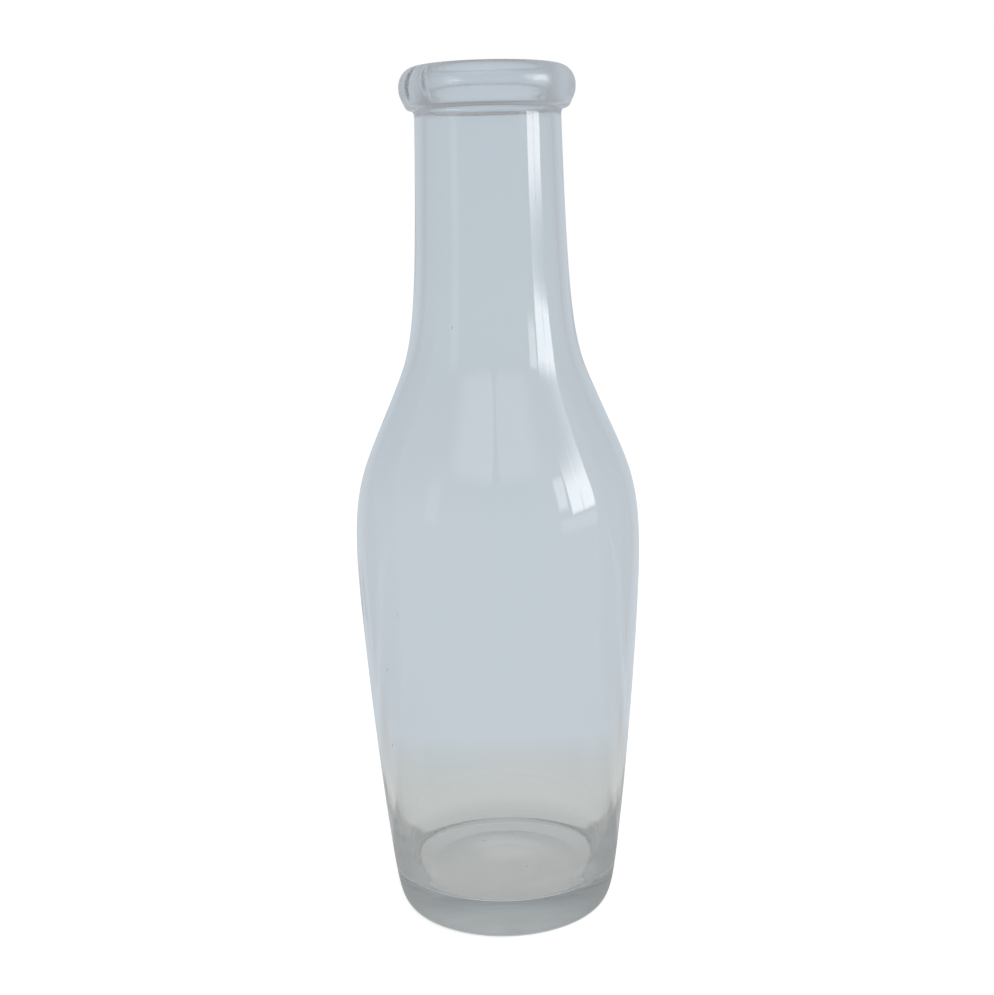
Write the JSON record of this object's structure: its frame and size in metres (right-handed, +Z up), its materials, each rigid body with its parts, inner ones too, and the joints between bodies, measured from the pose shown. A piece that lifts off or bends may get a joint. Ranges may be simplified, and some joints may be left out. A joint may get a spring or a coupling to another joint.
{
  "type": "blown glass bottle",
  "caption": "Clear hand-blown glass bottle with a tapering body, long open neck, thick base and a rounded lip of glass wound round the neck's end.",
  "frame": {"origin": "middle of the standing ring, on the table plane", "axes": "+Z up the bottle's axis to the mouth, +X to the right and -Y towards the camera as pictured"},
  "size_m": [0.0948, 0.0948, 0.28],
  "materials": {
    "vessel_glass": "clear, fire-polished, slightly wavy",
    "lip_glass": "clear, fire-polished, thicker and so a little darker"
  },
  "bodies": {
    "root": {"blown_vessel": "vessel_glass", "wound_lip": "lip_glass"}
  },
  "joints": []
}
